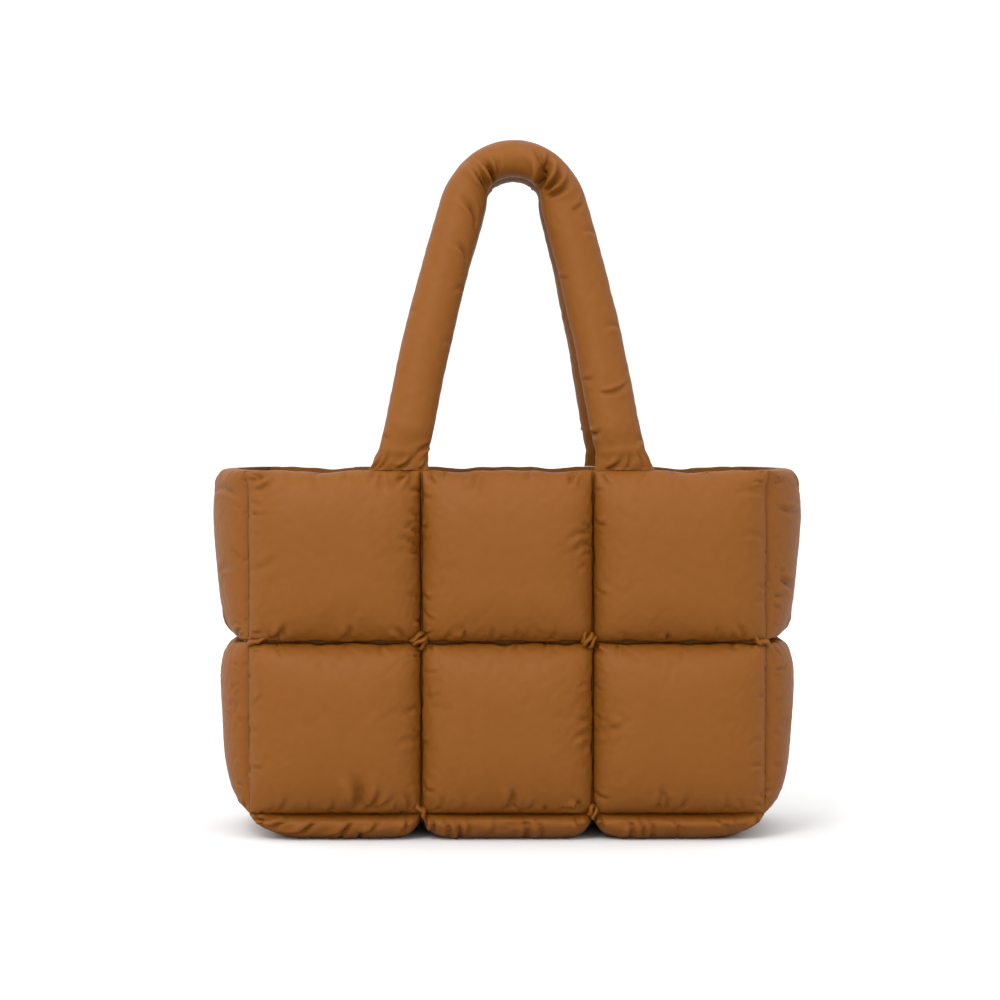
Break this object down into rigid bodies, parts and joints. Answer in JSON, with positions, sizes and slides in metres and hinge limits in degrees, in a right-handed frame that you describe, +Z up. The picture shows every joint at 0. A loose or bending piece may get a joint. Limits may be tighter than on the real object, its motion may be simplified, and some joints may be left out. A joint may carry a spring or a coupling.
{
  "type": "padded tote bag",
  "caption": "Open-topped soft tote of stuffed square quilting, with end gussets that flare at the rim, a padded base it stands on and stuffed carrying handles.",
  "frame": {"origin": "on the floor under the middle of the bag", "axes": "+Z up, +X to the right as the front is looked at, the front panel faces -Y"},
  "size_m": [0.4608, 0.184, 0.5378],
  "materials": {
    "shell_fabric": "satin"
  },
  "bodies": {
    "root": {"front_panel": "shell_fabric", "back_panel": "shell_fabric", "left_gusset": "shell_fabric", "right_gusset": "shell_fabric", "base_panel": "shell_fabric", "front_handle": "shell_fabric", "back_handle": "shell_fabric"}
  },
  "joints": []
}
